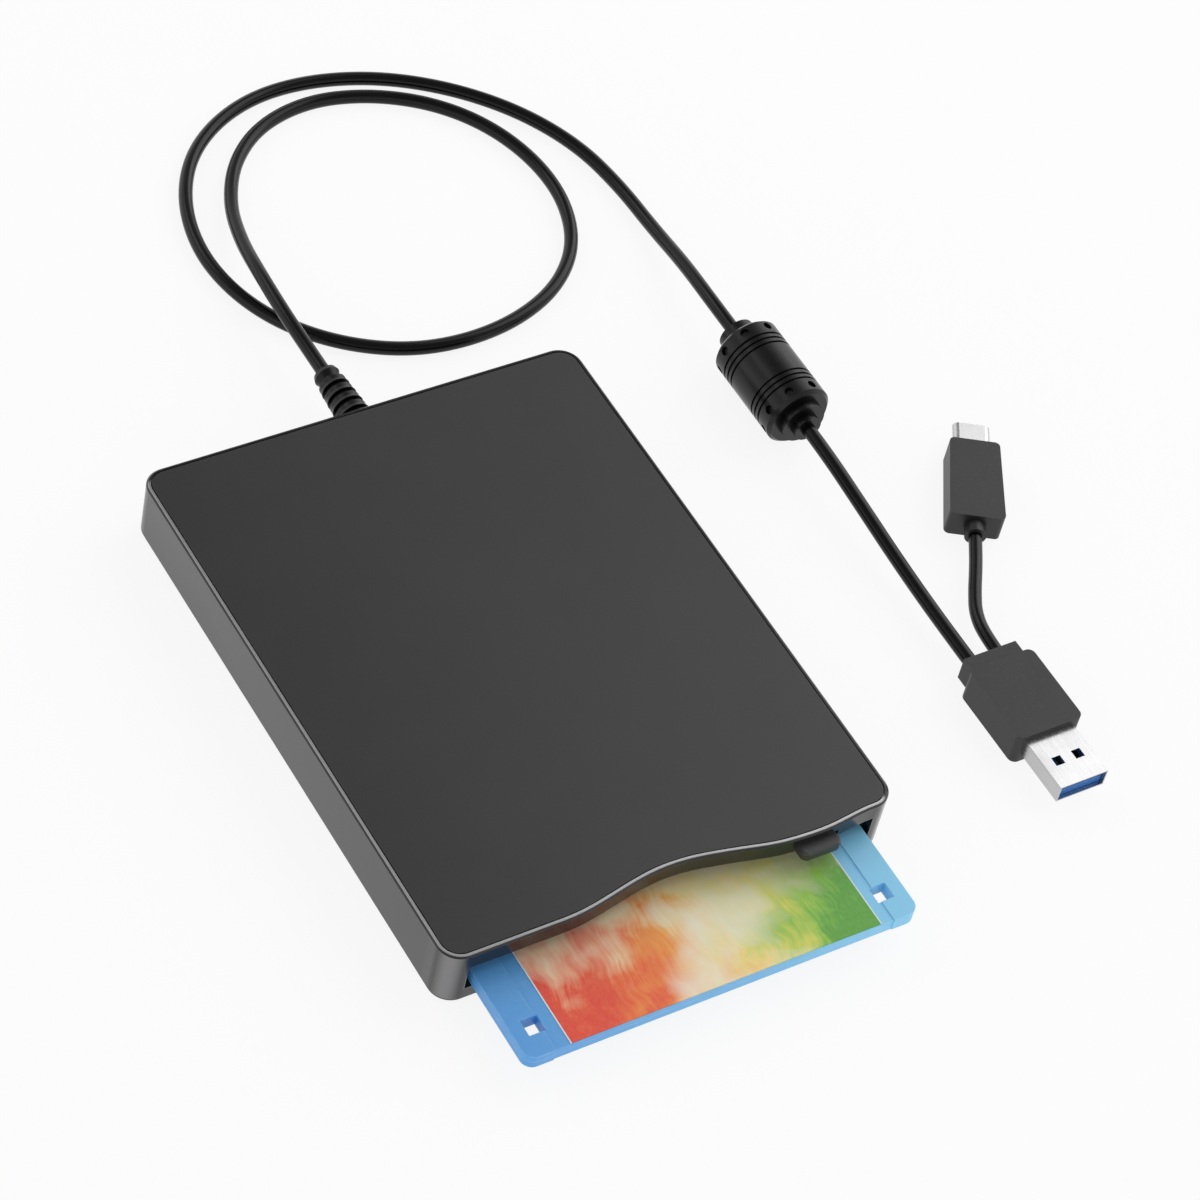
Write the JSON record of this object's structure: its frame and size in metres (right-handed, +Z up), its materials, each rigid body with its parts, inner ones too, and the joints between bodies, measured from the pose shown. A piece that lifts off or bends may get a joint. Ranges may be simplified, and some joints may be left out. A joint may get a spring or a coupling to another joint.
{
  "type": "external floppy disk drive",
  "caption": "Slim portable drive for 90 mm floppy disks: flat metal-look casing with a waved front, eject bar, a disk partly inserted, and a cord with a noise filter and two plugs.",
  "frame": {"origin": "bottom centre of the drive and its disk, on the floor under the feet, measured without the cord and what is on it", "axes": "+Z up, +Y from the disk slot to the cord end, +X to the right seen from the slot"},
  "size_m": [0.1859, 0.2625, 0.0156],
  "materials": {
    "case_metal": "satin metallic grey",
    "case_panel": "satin dark grey",
    "contact_gold": "gold plated",
    "liner_cloth": "napped",
    "case_base": "matte",
    "foot_rubber": "matte",
    "screw_steel": "blackened",
    "frame_steel": "zinc plated",
    "rod_steel": "ground",
    "board_green": "solder mask",
    "coil_copper": "enamelled wire",
    "bearing_brass": "sintered",
    "rotor_steel": "nickel plated",
    "carriage_plastic": "moulded",
    "head_ceramic": "ground ceramic",
    "stepper_steel": "zinc plated",
    "button_plastic": "satin black",
    "block_plastic": "moulded",
    "lever_plastic": "moulded",
    "disk_blue": "light blue, fine texture",
    "label_paper": "printed paper, soft colour wash",
    "media_film": "smooth dark film",
    "hub_steel": "stamped",
    "shutter_steel": "brushed",
    "chip_black": "moulded",
    "socket_plastic": "moulded",
    "relief_rubber": "moulded",
    "cord_jacket": "glossy",
    "filter_plastic": "glossy",
    "plug_plastic": "fine texture",
    "plug_steel": "nickel plated",
    "tongue_blue": "moulded",
    "tongue_black": "moulded"
  },
  "bodies": {
    "casing": {"top_cover": "case_metal", "top_panel": "case_panel", "bottom_cover": "case_base", "feet": "foot_rubber", "case_screws": "screw_steel", "drive_chassis": "frame_steel", "guide_rods": "rod_steel", "motor_board": "board_green", "stator": "coil_copper", "spindle_bearing": "bearing_brass", "stepper_motor": "stepper_steel", "stepper_bracket": "frame_steel", "control_board": "board_green", "board_chips": "chip_black", "cord_socket": "socket_plastic", "strain_relief": "relief_rubber", "cord": "cord_jacket", "noise_filter": "filter_plastic", "filter_collars": "relief_rubber", "plug_cord": "cord_jacket", "plug_body": "plug_plastic", "plug_shell": "plug_steel", "plug_tongue": "tongue_blue", "plug_contacts": "contact_gold", "c_plug_cord": "cord_jacket", "c_plug_body": "plug_plastic", "c_plug_shell": "plug_steel", "c_plug_tongue": "tongue_black"},
    "slider": {"eject_slider": "frame_steel", "eject_button": "button_plastic"},
    "cradle": {"disk_cradle": "frame_steel", "lever_rivet": "rod_steel"},
    "ejector": {"ejector_block": "block_plastic"},
    "lever": {"shutter_lever": "lever_plastic"},
    "disk": {"disk_lower_shell": "disk_blue", "disk_upper_shell": "disk_blue", "disk_label": "label_paper", "disk_liners": "liner_cloth"},
    "shutter": {"disk_shutter": "shutter_steel"},
    "media": {"disk_media": "media_film", "disk_hub": "hub_steel"},
    "spindle": {"spindle_rotor": "rotor_steel", "spindle_shaft": "rod_steel", "drive_pin": "rod_steel"},
    "feed_screw": {"lead_screw": "rod_steel"},
    "carriage": {"head_carriage": "carriage_plastic", "lower_head": "head_ceramic", "arm_hinge_pin": "rod_steel"},
    "head_arm": {"upper_head_arm": "frame_steel", "upper_head": "head_ceramic"}
  },
  "joints": [
    {"name": "eject_press", "type": "slide", "parent": "casing", "child": "slider", "axis": [0, 1, 0], "range_m": [0, 0.003], "stiffness_N_per_m": 300, "springref_m": -0.003},
    {"name": "cradle_lift", "type": "slide", "parent": "casing", "child": "cradle", "axis": [0, 0, 1], "range_m": [0, 0.0015]},
    {"name": "ejector_slide", "type": "slide", "parent": "cradle", "child": "ejector", "axis": [0, 1, 0], "range_m": [0, 0.0215], "stiffness_N_per_m": 20, "springref_m": -0.02},
    {"name": "lever_swing", "type": "hinge", "parent": "cradle", "child": "lever", "pos_m": [0.04182, 0.04997, 0.0092], "axis": [0, 0, 1], "range_deg": [-54.92, 0]},
    {"name": "disk_pull", "type": "slide", "parent": "ejector", "child": "disk", "axis": [0, -1, 0], "range_m": [0, 0.075]},
    {"name": "shutter_slide", "type": "slide", "parent": "disk", "child": "shutter", "axis": [-1, 0, 0], "range_m": [0, 0.02]},
    {"name": "media_spin", "type": "hinge", "parent": "disk", "child": "media", "pos_m": [0, -0.02925, 0.006], "axis": [0, 0, 1], "continuous": true},
    {"name": "spindle_spin", "type": "hinge", "parent": "casing", "child": "spindle", "pos_m": [0, -0.00775, 0.003], "axis": [0, 0, 1], "continuous": true},
    {"name": "screw_spin", "type": "hinge", "parent": "casing", "child": "feed_screw", "pos_m": [0.022, 0.04075, 0.0066], "axis": [0, 1, 0], "range_deg": [-1170, 1170]},
    {"name": "carriage_slide", "type": "slide", "parent": "casing", "child": "carriage", "axis": [0, 1, 0], "range_m": [-0.00975, 0.00975]},
    {"name": "arm_lift", "type": "hinge", "parent": "carriage", "child": "head_arm", "pos_m": [0, 0.05475, 0.0099], "axis": [-1, 0, 0], "range_deg": [0, 3.4]}
  ],
  "couplings": [
    {"joint": "cradle_lift", "follows": "eject_press", "ratio": 0.5},
    {"joint": "arm_lift", "follows": "eject_press", "rad_per_m": 19.779},
    {"joint": "lever_swing", "follows": "ejector_slide", "rad_per_m": -44.34},
    {"joint": "shutter_slide", "follows": "ejector_slide", "ratio": 0.93023},
    {"joint": "media_spin", "follows": "spindle_spin", "ratio": 1},
    {"joint": "screw_spin", "follows": "carriage_slide", "rad_per_m": 2094.4}
  ]
}
